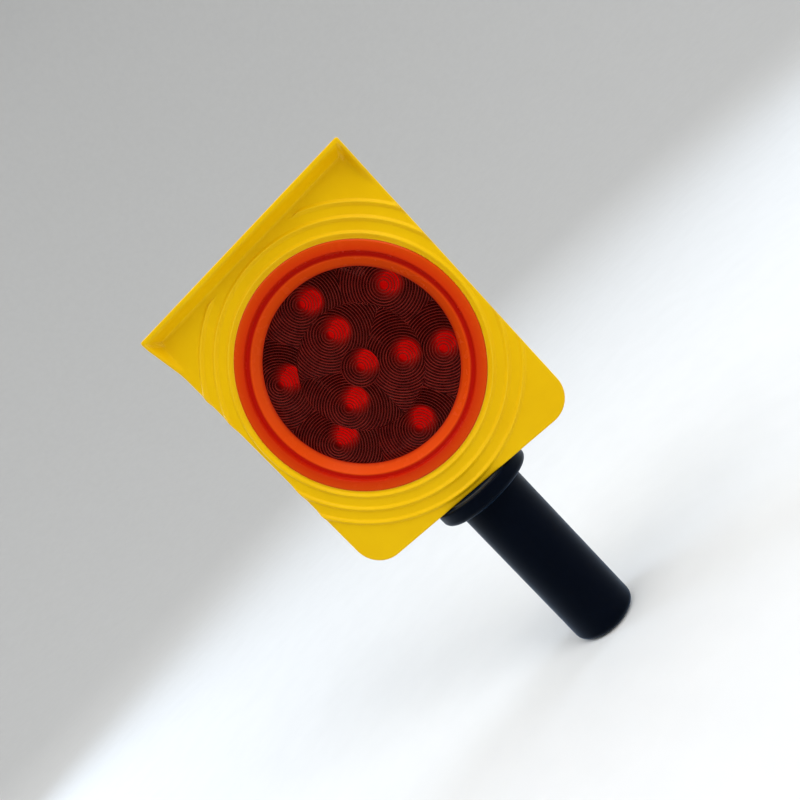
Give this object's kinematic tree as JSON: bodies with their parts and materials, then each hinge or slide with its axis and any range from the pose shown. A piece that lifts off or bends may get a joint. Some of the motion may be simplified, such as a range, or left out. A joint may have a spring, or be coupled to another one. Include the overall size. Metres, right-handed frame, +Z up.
{
  "type": "traffic baton light",
  "caption": "Hand-held warning lamp: square yellow head, round red prism lens over LEDs, roof solar panel, rear push button, round black handle with a collar.",
  "frame": {"origin": "centre of the handle's flat bottom end", "axes": "+Z up along the handle's axis, the lens faces -Y, +X to the right of someone who looks at the lens"},
  "size_m": [0.1094, 0.0442, 0.2135],
  "materials": {
    "yellow_shell": "satin-gloss injection-moulded yellow plastic",
    "red_lens": "clear red moulded lens with fine prism rings",
    "black_handle": "satin black plastic",
    "seal_rubber": "matt black rubber",
    "black_inner": "matt black moulded plastic",
    "button_black": "soft-touch black rubber",
    "circuit_board": "green solder mask",
    "led_red": "clear red epoxy",
    "chip_black": "matt black epoxy",
    "capacitor_can": "bright aluminium",
    "connector_white": "off-white nylon",
    "solar_cells": "dark blue cells with silver grid lines",
    "clear_cover": "clear polished plastic",
    "cell_wrap": "glossy blue shrink wrap",
    "nickel": "nickel-plated strip",
    "spring_steel": "drawn spring wire",
    "lead_red": "red insulation",
    "lead_black": "black insulation",
    "screw_steel": "zinc-plated steel"
  },
  "bodies": {
    "lamp": {"front_shell": "yellow_shell", "rear_shell": "yellow_shell", "shell_seal": "seal_rubber", "lens": "red_lens", "lens_gasket": "seal_rubber", "reflector_plate": "black_inner", "main_board": "circuit_board", "led_1": "led_red", "led_2": "led_red", "led_3": "led_red", "led_4": "led_red", "led_5": "led_red", "led_6": "led_red", "led_7": "led_red", "led_8": "led_red", "led_9": "led_red", "led_10": "led_red", "controller_chip": "chip_black", "driver_inductor": "chip_black", "filter_capacitor": "capacitor_can", "battery_connector": "connector_white", "solar_connector": "connector_white", "switch_body": "chip_black", "switch_bezel": "button_black", "solar_panel": "solar_cells", "solar_window": "clear_cover", "handle_tube": "black_handle", "handle_seal": "seal_rubber", "battery_spring": "spring_steel", "battery_cell": "cell_wrap", "battery_contact": "nickel", "negative_strip": "nickel", "battery_plug": "black_inner", "battery_lead_red": "lead_red", "battery_lead_black": "lead_black", "solar_lead_red": "lead_red", "solar_lead_black": "lead_black", "shell_screw_1": "screw_steel", "shell_screw_2": "screw_steel", "shell_screw_3": "screw_steel", "shell_screw_4": "screw_steel", "shell_screw_5": "screw_steel", "shell_screw_6": "screw_steel", "board_screw_1": "screw_steel", "board_screw_2": "screw_steel", "board_screw_3": "screw_steel"},
    "button": {"button_cap": "button_black", "switch_plunger": "connector_white"}
  },
  "joints": [
    {"name": "button_press", "type": "slide", "parent": "lamp", "child": "button", "axis": [0, -1, 0], "range_m": [0, 0.0008], "stiffness_N_per_m": 2500}
  ]
}
